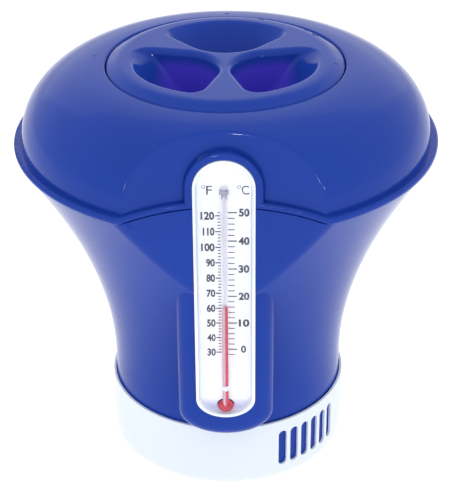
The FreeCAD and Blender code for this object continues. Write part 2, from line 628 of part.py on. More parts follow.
def lid_crown():
    """The lid's disc, level in the middle and sloping to its edge."""
    slope_mid = (0.5 * (LID_CROWN_R + LID_R), LID_TOP_Z - LID_SAG * LID_CROWN)
    edge_top = (LID_R - LID_EDGE_R, SHELL_TOP_Z)
    points = [vec(LID_CROWN_R, 0, LID_TOP_Z), vec(slope_mid[0], 0, slope_mid[1]),
              vec(edge_top[0], 0, edge_top[1])]
    top_curve = Part.BSplineCurve()
    top_curve.interpolate(Points=points, InitialTangent=vec(1, 0, 0), FinalTangent=vec(0.94, 0, -0.34))
    outline = [edge_top, (LID_R, SHELL_TOP_Z - LID_EDGE_R), (LID_R, LID_BOTTOM_Z), (0, LID_BOTTOM_Z),
               (0, LID_TOP_Z), (LID_CROWN_R, LID_TOP_Z)]
    return revolved([top_curve.toShape()] + lines(outline))


def make_lid():
    plug = ring(PLUG_R, PLUG_BORE_R, PLUG_BOTTOM_Z, LID_BOTTOM_Z + SINK)
    under = drum(PLUG_BORE_R, LID_BOTTOM_Z - 1, LID_TOP_Z - LID_WALL)
    lid = lid_crown().cut(under)
    lid = lid.fuse([plug] + around(grip_pocket(GRIP_WALL), POCKET_COUNT).Solids)
    lid = lid.cut(around(grip_pocket(0), POCKET_COUNT))
    lid = rounded(lid, GRIP_LIP_R, is_grip_rim)
    seal_half_h = LID_SEAL_R + LID_SEAL_CLEARANCE
    groove = ring(PLUG_R + 1, lid_seal_mid() - LID_SEAL_R - LID_SEAL_CLEARANCE,
                  LID_SEAL_Z - seal_half_h, LID_SEAL_Z + seal_half_h)
    lid = lid.cut(groove)
    lid = lid.fuse(lid_lugs())
    return biggest(lid.removeSplitter())


def is_grip_rim(edge):
    box = edge.BoundBox
    level = box.ZLength < 0.01 and abs(box.ZMax - LID_TOP_Z) < 0.01
    return level and max(abs(box.XMax), abs(box.XMin), abs(box.YMax), abs(box.YMin)) < LID_CROWN_R - 0.5


def lid_lugs():
    band = ring(LUG_R, PLUG_R - PLUG_WALL / 2, PLUG_BOTTOM_Z, PLUG_BOTTOM_Z + LUG_H)
    start = LUG_OFFSET_DEG - LUG_ANGLE / 2
    lug = band.common(wedge(start, start + LUG_ANGLE, PLUG_BOTTOM_Z - 1, PLUG_BOTTOM_Z + LUG_H + 1))
    return around(lug, LUG_COUNT).Solids


def lid_seal_mid():
    return FILL_BORE_R - LID_SEAL_CLEARANCE - LID_SEAL_R


def make_lid_seal():
    return o_ring(lid_seal_mid(), LID_SEAL_R, LID_SEAL_Z)


# ---- thermometer pieces ----
def make_lens():
    outside = capsule(LENS_HALF_W, PANEL_TOP_CENTRE_Z, LENS_BOTTOM_Z, LENS_BOTTOM_RISE,
                      PANEL_FRONT_Y, LENS_BACK_Y)
    outside = rounded(outside, LENS_EDGE_R, lambda edge: edge.BoundBox.YMax < PANEL_FRONT_Y + 0.01)
    inside = capsule(LENS_HALF_W - LENS_WALL, PANEL_TOP_CENTRE_Z, LENS_BOTTOM_Z + LENS_WALL,
                     LENS_BOTTOM_RISE - LENS_WALL / 2, PANEL_FRONT_Y + LENS_WALL, LENS_BACK_Y + 1)
    return outside.cut(inside)


def make_tray():
    """The backing, with a rim that runs round the clear cover."""
    rim_front = PANEL_FRONT_Y + RIM_SETBACK
    tray = capsule(PANEL_HALF_W, PANEL_TOP_CENTRE_Z, PANEL_BOTTOM_Z, PANEL_BOTTOM_RISE,
                   rim_front, TRAY_BACK_Y)
    tray = rounded(tray, RIM_ROUND, lambda edge: edge.BoundBox.YMax < rim_front + 0.01)
    recess = capsule(LENS_HALF_W + LENS_CLEARANCE, PANEL_TOP_CENTRE_Z, LENS_BOTTOM_Z - LENS_CLEARANCE,
                     LENS_BOTTOM_RISE, rim_front - 1, LENS_BACK_Y)
    return tray.cut([recess, bulb_hole()])


def bulb_hole():
    hole = Part.makeCylinder(BULB_HALF_W + 0.4, 10, vec(0, LENS_BACK_Y - 5, 0), vec(0, 1, 0))
    stretch = FreeCAD.Matrix()
    stretch.A33 = (BULB_HALF_H + 0.4) / (BULB_HALF_W + 0.4)
    hole = hole.transformGeometry(stretch)
    hole.translate(vec(0, 0, BULB_Z))
    return hole


def make_card():
    margin = LENS_WALL + CARD_INSET
    card = capsule(LENS_HALF_W - margin, PANEL_TOP_CENTRE_Z, LENS_BOTTOM_Z + margin,
                   LENS_BOTTOM_RISE - margin / 2, LENS_BACK_Y - CARD_T, LENS_BACK_Y)
    return card.cut(bulb_hole())


def ellipsoid(half_w, half_d, half_h):
    ball = Part.makeSphere(1.0)
    stretch = FreeCAD.Matrix()
    stretch.A11 = half_w
    stretch.A22 = half_d
    stretch.A33 = half_h
    ball = ball.transformGeometry(stretch)
    ball.translate(vec(0, BULB_Y, BULB_Z))
    return ball


def make_glass_tube():
    stem = Part.makeCylinder(STEM_R, STEM_TOP_Z - BULB_Z, vec(0, STEM_Y, BULB_Z))
    bulb = ellipsoid(BULB_HALF_W, BULB_HALF_D, BULB_HALF_H)
    bore = Part.makeCylinder(BORE_R, STEM_TOP_Z - 1.5 - BULB_Z, vec(0, STEM_Y, BULB_Z))
    hollow = ellipsoid(BULB_HALF_W - BULB_WALL, BULB_HALF_D - BULB_WALL, BULB_HALF_H - BULB_WALL)
    return biggest(stem.fuse(bulb).cut(bore.fuse(hollow)))


def make_red_spirit():
    gap = COLUMN_CLEARANCE
    column = Part.makeCylinder(BORE_R - gap, SPIRIT_TOP_Z - BULB_Z, vec(0, STEM_Y, BULB_Z))
    wall = BULB_WALL + gap
    return column.fuse(ellipsoid(BULB_HALF_W - wall, BULB_HALF_D - wall, BULB_HALF_H - wall))


def make_strap(low, height):
    """A small bridge that holds the glass tube to the card."""
    card_y = LENS_BACK_Y - CARD_T
    front_y = PANEL_FRONT_Y + LENS_WALL + STACK_CLEARANCE / 2
    block = Part.makeBox(2 * STRAP_HALF_W, card_y - front_y, height, vec(-STRAP_HALF_W, front_y, low))
    hole = Part.makeCylinder(STEM_R + STRAP_CLEARANCE, height + 2, vec(0, STEM_Y, low - 1))
    return biggest(block.cut(hole))


# ---- every node, and its STEP file ----
def make_all():
    low_seal_z = TUBE_BOTTOM_Z + SOCKET_H / 2
    high_seal_z = FILL_SOCKET_BOTTOM_Z + SOCKET_H / 2
    return {
        "upper_shell": make_upper_shell(),
        "lower_shell": make_lower_shell(),
        "tablet_tube": make_tablet_tube(),
        "tube_top_seal": make_tube_seal(high_seal_z),
        "tube_bottom_seal": make_tube_seal(low_seal_z),
        "tablet_grate": make_tablet_grate(),
        "thermometer_tray": make_tray(),
        "scale_card": make_card(),
        "glass_tube": make_glass_tube(),
        "red_spirit": make_red_spirit(),
        "upper_tube_strap": make_strap(UPPER_STRAP_Z, UPPER_STRAP_H),
        "lower_tube_strap": make_strap(LOWER_STRAP_Z, LOWER_STRAP_H),
        "thermometer_lens": make_lens(),
        "lid": make_lid(),
        "lid_seal": make_lid_seal(),
        "dosing_cup": make_dosing_cup(),
    }


def main():
    os.makedirs("parts", exist_ok=True)
    for name, shape in make_all().items():
        shape.exportStep("parts/" + name + ".step")
        size = shape.BoundBox
        print(name, "solids", len(shape.Solids), "valid", shape.isValid(),
              "volume", round(shape.Volume), "z", round(size.ZMin, 1), round(size.ZMax, 1))


main()
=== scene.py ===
"""Floating chlorine dispenser: the looks of its shells, lid, dosing cup and thermometer.

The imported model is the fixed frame. Every length is in metres and every place comes from
the frame's own nodes, with +Z up and the thermometer at the front, towards -Y.
"""

import math

import bpy
from mathutils import Matrix, Vector


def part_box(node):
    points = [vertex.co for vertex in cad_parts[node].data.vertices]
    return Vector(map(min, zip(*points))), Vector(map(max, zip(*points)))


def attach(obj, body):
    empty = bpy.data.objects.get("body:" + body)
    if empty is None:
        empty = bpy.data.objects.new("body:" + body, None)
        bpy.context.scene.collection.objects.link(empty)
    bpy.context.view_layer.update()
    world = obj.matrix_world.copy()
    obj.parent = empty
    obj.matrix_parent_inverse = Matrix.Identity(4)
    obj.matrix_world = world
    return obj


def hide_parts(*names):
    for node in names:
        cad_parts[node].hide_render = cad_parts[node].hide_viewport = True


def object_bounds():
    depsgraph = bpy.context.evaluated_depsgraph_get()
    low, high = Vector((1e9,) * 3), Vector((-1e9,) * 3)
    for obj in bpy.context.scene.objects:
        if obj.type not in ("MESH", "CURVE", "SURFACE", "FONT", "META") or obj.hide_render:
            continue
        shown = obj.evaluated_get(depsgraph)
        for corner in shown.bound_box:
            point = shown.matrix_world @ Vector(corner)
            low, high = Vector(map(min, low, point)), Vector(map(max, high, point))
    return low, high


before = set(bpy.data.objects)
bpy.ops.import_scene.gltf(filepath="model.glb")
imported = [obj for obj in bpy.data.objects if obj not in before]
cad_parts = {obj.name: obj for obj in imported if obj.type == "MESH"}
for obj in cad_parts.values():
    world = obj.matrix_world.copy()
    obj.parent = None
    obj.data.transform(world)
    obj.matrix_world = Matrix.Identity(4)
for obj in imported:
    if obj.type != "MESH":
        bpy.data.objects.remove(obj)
cad_low, cad_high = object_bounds()

bl_info = {
    "name": "Pool dispenser looks",
    "version": (1, 0, 0),
    "blender": (4, 5, 0),
    "location": "3D View > Sidebar > Dispenser",
    "description": "Dresses the floating chlorine dispenser and sets its studio",
    "category": "Object",
}

MM = 0.001

# ---- places on the thermometer's card, from its centre line ----
FAHRENHEIT_TICK_END = -1.62 * MM     # the lines of that scale end here, beside the tube
FAHRENHEIT_LONG_TICK = -3.8 * MM     # and start here, the long ones at every ten degrees
FAHRENHEIT_SHORT_TICK = -2.85 * MM
FAHRENHEIT_DIGITS_END = -4.1 * MM    # right edge of its numbers
CELSIUS_TICK_START = 1.5 * MM
CELSIUS_LONG_TICK = 5.15 * MM
CELSIUS_SHORT_TICK = 4.2 * MM
CELSIUS_DIGITS_END = 10.4 * MM       # right edge of its numbers
CELSIUS_ZERO_END = 9.0 * MM          # right edge of the lone nought
SHORT_TICK_SHARE = 0.75              # thickness of a short line, as a share of a long one's
NARROW_ONE = 0.8 * MM                # a second figure one makes a number this much narrower
FAHRENHEIT_LAST_GAP = 0.25 * MM      # a digit's width holds this gap, left out after the last
CELSIUS_LAST_GAP = 0.1 * MM
UNITS_ABOVE_FIFTY = 10.2 * MM        # the units stand this far above fifty degrees Celsius
DEGREE_RING_RISE = 1.5 * MM          # and their rings this far above the units' middles
DIGIT_WEIGHT = 0.035                 # the numbers are bolder than the plain letters

# ---- moulded marks, on the lid unless they say otherwise ----
MARK_R = 47.2 * MM                   # ring of the marks about the lid's axis
POINTER_R = 57 * MM                  # ring of the pointers on the float
CLOSED_LOCK_DEG = 70                 # bearings, counted from +X
OPEN_LOCK_DEG = 33
ARC_DEG = (42, 62)
ARC_MIDDLE_DEG = 50                  # the arc takes its height from the lid here
ARROW_DEG = (40.5, -7)
POINTER_DEG = (90, 172)
SHACKLE_SHIFT = 0.7 * MM             # the open lock's ring stands aside by this much
MARK_FLATNESS = 0.7                  # share of the mark height that stands off the surface


# ---- colours ----
def linear(hex_colour):
    """An sRGB hex colour as linear red, green and blue."""
    parts = [int(hex_colour[k:k + 2], 16) / 255 for k in (1, 3, 5)]
    return tuple(c / 12.92 if c <= 0.04045 else ((c + 0.055) / 1.055) ** 2.4 for c in parts)


# ---- settings a user would change ----
class DispenserSizes(bpy.types.PropertyGroup):
    """Sizes of the printed scale, the spirit's column and the moulded marks."""

    digit_height: bpy.props.FloatProperty(
        name="Digit height", description="Height of the numbers on the scale",
        default=3.7 * MM, min=1 * MM, max=6 * MM, subtype="DISTANCE", unit="LENGTH")
    digit_width: bpy.props.FloatProperty(
        name="Digit width", description="Width of one Fahrenheit digit, with its gap",
        default=1.95 * MM, min=0.5 * MM, max=4 * MM, subtype="DISTANCE", unit="LENGTH")
    celsius_digit_width: bpy.props.FloatProperty(
        name="Celsius digit width", description="Width of one Celsius digit, with its gap",
        default=2.3 * MM, min=0.5 * MM, max=4 * MM, subtype="DISTANCE", unit="LENGTH")
    unit_height: bpy.props.FloatProperty(
        name="Unit height", description="Height of the letters that name the two scales",
        default=4.0 * MM, min=1 * MM, max=8 * MM, subtype="DISTANCE", unit="LENGTH")
    tick_thickness: bpy.props.FloatProperty(
        name="Tick thickness", description="Thickness of the longer lines of the scale",
        default=0.55 * MM, min=0.1 * MM, max=1 * MM, subtype="DISTANCE", unit="LENGTH")
    degree_step: bpy.props.FloatProperty(
        name="Degree step", description="Height of one degree Celsius on the scale",
        default=1.322 * MM, min=0.5 * MM, max=3 * MM, subtype="DISTANCE", unit="LENGTH")
    zero_height: bpy.props.FloatProperty(
        name="Zero height", description="Height of zero degrees Celsius above the floor",
        default=82.8 * MM, min=0, max=150 * MM, subtype="DISTANCE", unit="LENGTH")
    ink_thickness: bpy.props.FloatProperty(
        name="Ink thickness", description="How far the print stands off the card",
        default=0.04 * MM, min=0.01 * MM, max=0.2 * MM, subtype="DISTANCE", unit="LENGTH")
    column_half_width: bpy.props.FloatProperty(
        name="Column half width", description="Half the width of the spirit as the tube magnifies it",
        default=1.15 * MM, min=0.3 * MM, max=1.25 * MM, subtype="DISTANCE", unit="LENGTH")
    mark_height: bpy.props.FloatProperty(
        name="Mark height", description="Height of the moulded marks, before they are flattened",
        default=0.2 * MM, min=0.1 * MM, max=1 * MM, subtype="DISTANCE", unit="LENGTH")


class DispenserColours(bpy.types.PropertyGroup):
    """Colours of the plastics, the print, the spirit and the painted bounce light in the lid's pockets.
    """

    shell: bpy.props.FloatVectorProperty(
        name="Shell", description="Blue of the float and its lid",
        size=3, min=0, max=1, subtype="COLOR", default=linear("#1B3EA0"))
    # painted bounce light: the violet that blue light bounced about the lid's deep pockets gives them
    pocket: bpy.props.FloatVectorProperty(
        name="Pocket", description="Violet blue that the lid's deep pockets take",
        size=3, min=0, max=1, subtype="COLOR", default=linear("#5145CE"))
    cup: bpy.props.FloatVectorProperty(
        name="Dosing cup", description="White of the dosing cup",
        size=3, min=0, max=1, subtype="COLOR", default=linear("#E6EEFA"))
    card: bpy.props.FloatVectorProperty(
        name="Card", description="White of the thermometer's card",
        size=3, min=0, max=1, subtype="COLOR", default=linear("#F8F9FC"))
    ink: bpy.props.FloatVectorProperty(
        name="Ink", description="Grey of the printed scale",
        size=3, min=0, max=1, subtype="COLOR", default=linear("#46434E"))
    spirit: bpy.props.FloatVectorProperty(
        name="Spirit", description="Red of the thermometer's spirit",
        size=3, min=0, max=1, subtype="COLOR", default=linear("#EC2C46"))


def sizes():
    """The sizes set in the panel."""
    return bpy.context.scene.dispenser_sizes


def colours():
    """The colours set in the panel."""
    return bpy.context.scene.dispenser_colours


# ---- materials ----
def add_node(material, kind, settings=None, **links):
    """Adds a shader node; settings set its properties, links feed or set its inputs."""
    tree = material.node_tree
    node = tree.nodes.new(kind)
    for name, value in (settings or {}).items():
        setattr(node, name, value)
    for name, value in links.items():
        socket = node.inputs[name.replace("_", " ")]
        if isinstance(value, bpy.types.NodeSocket):
            tree.links.new(value, socket)
        else:
            socket.default_value = value
    return node


def new_material(name, **shader):
    """A material with one principled shader; returns it and the shader node."""
    material = bpy.data.materials.new(name)
    material.use_nodes = True
    principled = material.node_tree.nodes["Principled BSDF"]
    for socket, value in shader.items():
        principled.inputs[socket.replace("_", " ")].default_value = value
    return material, principled


def feed(material, socket, node, name):
    """Links a socket to a node's input, given by name or by number."""
    material.node_tree.links.new(socket, node.inputs[name])


def tint_over(material, shader, colour, darker, lighter, patch_mm):
    """Lets the colour wander over the surface between two shades; returns the coordinates."""
    place = add_node(material, "ShaderNodeTexCoord")
    noise = add_node(material, "ShaderNodeTexNoise", Vector=place.outputs["Object"],
                     Scale=1 / (patch_mm * MM), Detail=3.0, Roughness=0.55)
    ramp = add_node(material, "ShaderNodeValToRGB", Fac=noise.outputs["Fac"])
    ramp.color_ramp.elements[0].position = 0.3
    ramp.color_ramp.elements[1].position = 0.7
    ramp.color_ramp.elements[0].color = [c * darker for c in colour] + [1]
    ramp.color_ramp.elements[1].color = [min(1, c * lighter) for c in colour] + [1]
    feed(material, ramp.outputs["Color"], shader, "Base Color")
    return place


def smooth_share(material, value, start, end):
    """A share that rises softly from 0 at the start to 1 at the end."""
    ramp = add_node(material, "ShaderNodeMapRange", {"interpolation_type": "SMOOTHSTEP"},
                    Value=value, From_Min=start, From_Max=end)
    return ramp.outputs["Result"]


def tint_part(material, shader, share, colour):
    """Lays a second colour over the skin, as strong as the share at each place."""
    skin = shader.inputs["Base Color"].links[0].from_socket
    mixed = add_node(material, "ShaderNodeMix", {"data_type": "RGBA"}, Factor=share)
    first, second = [k for k, socket in enumerate(mixed.inputs) if socket.type == "RGBA"]
    mixed.inputs[second].default_value = (*colour, 1)
    feed(material, skin, mixed, first)
    result = [socket for socket in mixed.outputs if socket.type == "RGBA"][0]
    feed(material, result, shader, "Base Color")


def mould_grain(material, shader, place, grain_mm, height_mm, rough_low, rough_high):
    """The fine ripple of a moulded skin, and its slightly uneven gloss."""
    ripple = add_node(material, "ShaderNodeTexNoise", Vector=place.outputs["Object"],
                      Scale=1 / (grain_mm * MM), Detail=2.0)
    bump = add_node(material, "ShaderNodeBump", Height=ripple.outputs["Fac"],
                    Distance=height_mm * MM, Strength=1.0)
    feed(material, bump.outputs["Normal"], shader, "Normal")
    gloss_patch = 9 * MM  # the gloss changes over about this distance
    patches = add_node(material, "ShaderNodeTexNoise", Vector=place.outputs["Object"],
                       Scale=1 / gloss_patch, Detail=4.0)
    gloss = add_node(material, "ShaderNodeMapRange", Value=patches.outputs["Fac"],
                     From_Min=0.3, From_Max=0.7, To_Min=rough_low, To_Max=rough_high)
    feed(material, gloss.outputs["Result"], shader, "Roughness")


def blue_moulding(name):
    """What both blue plastics share; returns the material, its shader and its coordinates."""
    material, shader = new_material(name, IOR=1.49, Specular_IOR_Level=0.14)
    place = tint_over(material, shader, tuple(colours().shell),
                      darker=0.96, lighter=1.05, patch_mm=60)
    mould_grain(material, shader, place,
                grain_mm=6.0, height_mm=0.006, rough_low=0.09, rough_high=0.14)
    return material, shader, place


def polypropylene_blue():
    """Injection-moulded polypropylene from a polished tool: deep even colour and a wet gloss."""
    return blue_moulding("polypropylene_blue")[0]


def polypropylene_blue_deep():
    """The same moulding on the lid, with painted bounce light: the pockets' depths are painted violet,
    as blue light bounced about them turns them.
    """
    material, shader, place = blue_moulding("polypropylene_blue_deep")
    spot = add_node(material, "ShaderNodeSeparateXYZ", Vector=place.outputs["Object"])
    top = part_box("lid")[1].z
    # the painted bounce light sets in over 6 mm, from just under the rounded rim of each pocket
    depth = smooth_share(material, spot.outputs["Z"], top - 2.5 * MM, top - 8.5 * MM)
    flat = add_node(material, "ShaderNodeCombineXYZ", X=spot.outputs["X"], Y=spot.outputs["Y"])
    reach = add_node(material, "ShaderNodeVectorMath", {"operation": "LENGTH"},
                     Vector=flat.outputs["Vector"])
    # the pockets' outer walls face the sky and stay blue; those round the middle get the painted bounce
    # light
    inward = smooth_share(material, reach.outputs["Value"], 32 * MM, 25 * MM)
    both = add_node(material, "ShaderNodeMath", {"operation": "MULTIPLY"})
    feed(material, depth, both, 0)
    feed(material, inward, both, 1)
    tint_part(material, shader, both.outputs["Value"], colours().pocket)
    return material


def polypropylene_white():
    """Moulded white polypropylene: satin gloss, with light that sinks in a little."""
    material, shader = new_material("polypropylene_white", IOR=1.49, Specular_IOR_Level=0.3,
                                    Subsurface_Weight=0.15, Subsurface_Scale=1 * MM)
    shader.inputs["Subsurface Radius"].default_value = (1.0, 0.9, 0.8)
    place = tint_over(material, shader, tuple(colours().cup),
                      darker=0.985, lighter=1.0, patch_mm=40)
    mould_grain(material, shader, place,
                grain_mm=5.0, height_mm=0.002, rough_low=0.3, rough_high=0.36)
    return material


def polypropylene_natural():
    """Extruded natural polypropylene: milky, with faint lines along the tube from the die."""
    material, shader = new_material("polypropylene_natural", IOR=1.49, Subsurface_Weight=0.4,
                                    Subsurface_Scale=3 * MM)
    place = tint_over(material, shader, linear("#DDE2E8"), darker=0.95, lighter=1.0, patch_mm=50)
    stretch = add_node(material, "ShaderNodeMapping", Vector=place.outputs["Object"],
                       Scale=(1.0, 1.0, 0.02))
    die_lines = add_node(material, "ShaderNodeTexNoise", Vector=stretch.outputs["Vector"],
                         Scale=1 / (1.5 * MM), Detail=2.0)
    bump = add_node(material, "ShaderNodeBump", Height=die_lines.outputs["Fac"],
                    Distance=0.02 * MM, Strength=1.0)
    feed(material, bump.outputs["Normal"], shader, "Normal")
    shader.inputs["Roughness"].default_value = 0.42
    return material


def nitrile_rubber():
    """Moulded rubber cord: dull black with a fine talc bloom."""
    material, shader = new_material("nitrile_rubber", IOR=1.52, Specular_IOR_Level=0.35)
    place = tint_over(material, shader, linear("#1B1B1D"), darker=0.8, lighter=1.5, patch_mm=4)
    mould_grain(material, shader, place,
                grain_mm=0.6, height_mm=0.02, rough_low=0.55, rough_high=0.75)
    return material


def polystyrene_white():
    """Moulded white polystyrene, hard and glossy, as the thermometer's backing and strap are, with a
    painted glow that brightens it.
    """
    material, shader = new_material("polystyrene_white", IOR=1.59, Specular_IOR_Level=0.3,
                                    Emission_Strength=0.1)
    # painted light: a faint bluish-white glow brightens the plastic
    shader.inputs["Emission Color"].default_value = (*linear("#F3F9FF"), 1)
    place = tint_over(material, shader, linear("#F6F8FD"), darker=0.98, lighter=1.0, patch_mm=20)
    mould_grain(material, shader, place,
                grain_mm=3.0, height_mm=0.008, rough_low=0.18, rough_high=0.28)
    return material


def coated_card():
    """White coated card: matt, with a painted glow that brightens it, and the faintest fibre."""
    material, shader = new_material("coated_card", IOR=1.45, Specular_IOR_Level=0.2,
                                    Emission_Strength=0.17)
    # painted light: a faint glow makes the card give back a little more light than a plain white would
    shader.inputs["Emission Color"].default_value = (*linear("#FAFDFF"), 1)
    place = tint_over(material, shader, tuple(colours().card),
                      darker=0.985, lighter=1.0, patch_mm=3)
    mould_grain(material, shader, place,
                grain_mm=0.4, height_mm=0.004, rough_low=0.5, rough_high=0.62)
    spot = add_node(material, "ShaderNodeSeparateXYZ", Vector=place.outputs["Object"])
    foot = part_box("scale_card")[0].z
    # the card's lowest 8 mm lie in the violet shade of the bulb and the cover's end
    shade = smooth_share(material, spot.outputs["Z"], foot + 8 * MM, foot + 1 * MM)
    tint_part(material, shader, shade, linear("#B9B6E0"))
    return material


def printing_ink():
    """Dark grey screen ink: its edge is even and its density varies slightly."""
    material, shader = new_material("printing_ink", IOR=1.5)
    tint_over(material, shader, tuple(colours().ink), darker=0.9, lighter=1.2, patch_mm=2)
    shader.inputs["Roughness"].default_value = 0.55
    return material


def drawn_glass():
    """Soda-lime glass drawn into a thin tube: its wall is so thin that it hardly bends light."""
    material, shader = new_material("drawn_glass", IOR=1.08, Transmission_Weight=1.0,
                                    Roughness=0.02, Coat_Weight=0.35, Coat_Roughness=0.03)
    tint_over(material, shader, linear("#FDFBFF"), darker=0.99, lighter=1.0, patch_mm=10)
    return material


def dyed_spirit():
    """Red-dyed spirit as the tube's lens front shows it: a bright line beside a paler band."""
    material, shader = new_material("dyed_spirit", IOR=1.36, Roughness=0.15)
    place = add_node(material, "ShaderNodeTexCoord")
    spot = add_node(material, "ShaderNodeSeparateXYZ", Vector=place.outputs["Object"])
    half = sizes().column_half_width
    across = add_node(material, "ShaderNodeMapRange", Value=spot.outputs["X"],
                      From_Min=-half, From_Max=half)
    ramp = add_node(material, "ShaderNodeValToRGB", Fac=across.outputs["Result"])
    # from the column's left side to its right: rim, pale band, and the bright line beside it
    steps = ((0.0, "#EFA3B8"), (0.14, "#F8D7E1"), (0.45, "#F7C9D6"), (0.6, "#EA5A70"), (1.0, "#E8435A"))
    stops = ramp.color_ramp.elements
    while len(stops) < len(steps):
        stops.new(0.5)
    for stop, (position, shade) in zip(stops, steps):
        stop.position = position
        stop.color = (*linear(shade), 1)
    feed(material, ramp.outputs["Color"], shader, "Base Color")
    return material


def dyed_spirit_bulb():
    """Red-dyed spirit in the bulb: saturated, its red a little darker or lighter in small patches."""
    material, shader = new_material("dyed_spirit_bulb", IOR=1.36, Roughness=0.12,
                                    Subsurface_Weight=0.2, Subsurface_Scale=0.8 * MM)
    tint_over(material, shader, tuple(colours().spirit), darker=0.75, lighter=1.1, patch_mm=3)
    return material


def clear_polystyrene():
    """Clear moulded polystyrene: thin, colourless, with a crisp gloss and little bending of light."""
    material, shader = new_material("clear_polystyrene", IOR=1.05, Transmission_Weight=1.0,
                                    Roughness=0.0, Coat_Weight=0.25, Coat_Roughness=0.02)
    tint_over(material, shader, linear("#FBFCFF"), darker=0.995, lighter=1.0, patch_mm=30)
    return material


def light_guiding_polystyrene():
    """The clear cover's walls seen edge on, with a painted glow that stands in for light from the front
    running along them and out.
    """
    material, shader = new_material("light_guiding_polystyrene", IOR=1.59, Specular_IOR_Level=0.3,
                                    Emission_Strength=0.24)
    # painted light: the glow lifts the shade inside the cover's walls
    shader.inputs["Emission Color"].default_value = (*linear("#F1F7FF"), 1)
    place = tint_over(material, shader, linear("#EEF3FC"), darker=0.97, lighter=1.0, patch_mm=20)
    mould_grain(material, shader, place,
                grain_mm=3.0, height_mm=0.008, rough_low=0.12, rough_high=0.2)
    return material


def grey_polystyrene():
    """Moulded polystyrene with a grey-lilac cast, satin, as the small tube clip has it."""
    material, shader = new_material("grey_polystyrene", IOR=1.59, Specular_IOR_Level=0.3)
    tint_over(material, shader, linear("#B7B3C8"), darker=0.92, lighter=1.05, patch_mm=2)
    shader.inputs["Roughness"].default_value = 0.3
    return material


# ---- modelling helpers ----
def deselect():
    """Leaves edit mode and clears the selection."""
    if bpy.context.object and bpy.context.object.mode != "OBJECT":
        bpy.ops.object.mode_set(mode="OBJECT")
    bpy.ops.object.select_all(action="DESELECT")


def pick(thing):
    """Makes one object the selected and active one."""
    deselect()
    thing.select_set(True)
    bpy.context.view_layer.objects.active = thing


def put_place_in_mesh():
    """Applies the active object's place, turn and scale to its mesh."""
    bpy.ops.object.transform_apply(location=True, rotation=True, scale=True)


def select_faces(thing, wanted):
    """Opens a mesh in edit mode with the faces selected whose centre and normal pass a test."""
    pick(thing)
    bpy.ops.object.mode_set(mode="EDIT")
    bpy.ops.mesh.select_mode(type="FACE")
    bpy.ops.mesh.select_all(action="DESELECT")
    bpy.ops.object.mode_set(mode="OBJECT")
    for face in thing.data.polygons:
        face.select = wanted(face.center, face.normal)
    bpy.ops.object.mode_set(mode="EDIT")


def round_edges(thing, width, segments, sharper_than_deg):
    """Rounds the edges of a mesh that are sharper than an angle."""
    rounding = thing.modifiers.new("rounding", "BEVEL")
    rounding.width = width
    rounding.segments = segments
    rounding.limit_method = "ANGLE"
    rounding.angle_limit = math.radians(sharper_than_deg)
    bpy.ops.object.modifier_apply(modifier=rounding.name)


def settle(thing, name, material, smooth_deg=35):
    """Gives a finished mesh its name and material, and puts its place into its mesh."""
    pick(thing)
    thing.name = name
    thing.data.name = name
    put_place_in_mesh()
    if smooth_deg:
        bpy.ops.object.shade_smooth_by_angle(angle=math.radians(smooth_deg))
    thing.data.materials.clear()
    thing.data.materials.append(material)
    return thing


def wear(node, material):
    """Dresses a CAD node in a material."""
    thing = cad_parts[node]
    if not thing.material_slots:
        thing.data.materials.append(material)
    for slot in thing.material_slots:
        slot.material = material


def joined(things):
    """Joins meshes into the first of them."""
    deselect()
    for thing in things:
        thing.select_set(True)
    bpy.context.view_layer.objects.active = things[0]
    bpy.ops.object.join()
    return bpy.context.object


def card_front():
    """Y of the card's printed side."""
    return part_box("scale_card")[0].y


def tube_front():
    """Y of the front of the glass tube's clip, just before the tube."""
    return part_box("upper_tube_strap")[0].y


def mesh_span(thing):
    """Lowest and highest corner of a mesh, in its own coordinates."""
    points = [v.co for v in thing.data.vertices]
    low = Vector([min(p[k] for p in points) for k in range(3)])
    high = Vector([max(p[k] for p in points) for k in range(3)])
    return low, high


# ---- the printed scale ----
def tick(left, right, height, thickness):
    """One line of the scale, as a thin slab on the card."""
    front = card_front() - sizes().ink_thickness / 2
    bpy.ops.mesh.primitive_cube_add(size=1, location=((left + right) / 2, front, height))
    line = bpy.context.object
    line.scale = (right - left, sizes().ink_thickness, thickness)
    put_place_in_mesh()
    return line


def lettering(words, right, height, tall, wide, weight):
    """A number or unit, its right edge and middle height given, as a thin mesh on the card."""
    bpy.ops.object.text_add(location=(0, 0, 0))
    text = bpy.context.object
    text.data.body = words
    text.data.size = 1.0
    text.data.offset = weight
    text.data.extrude = 0.5
    text.data.resolution_u = 6
    bpy.ops.object.convert(target="MESH")
    mesh = bpy.context.object
    low, high = mesh_span(mesh)
    span = high - low
    mesh.data.transform(Matrix.Translation(-(low + high) / 2))
    depth = sizes().ink_thickness
    mesh.data.transform(Matrix.Diagonal((wide / span.x, tall / span.y, depth / span.z, 1)))
    mesh.data.transform(Matrix.Rotation(math.pi / 2, 4, "X"))
    middle = Vector((right - wide / 2, card_front() - depth / 2, height))
    mesh.data.transform(Matrix.Translation(middle))
    mesh.location = (0, 0, 0)
    return mesh


def celsius_height(degrees):
    """Height on the card of a temperature in degrees Celsius."""
    return sizes().zero_height + degrees * sizes().degree_step


def fahrenheit_height(degrees):
    """Height on the card of a temperature in degrees Fahrenheit."""
    return celsius_height((degrees - 32) / 1.8)


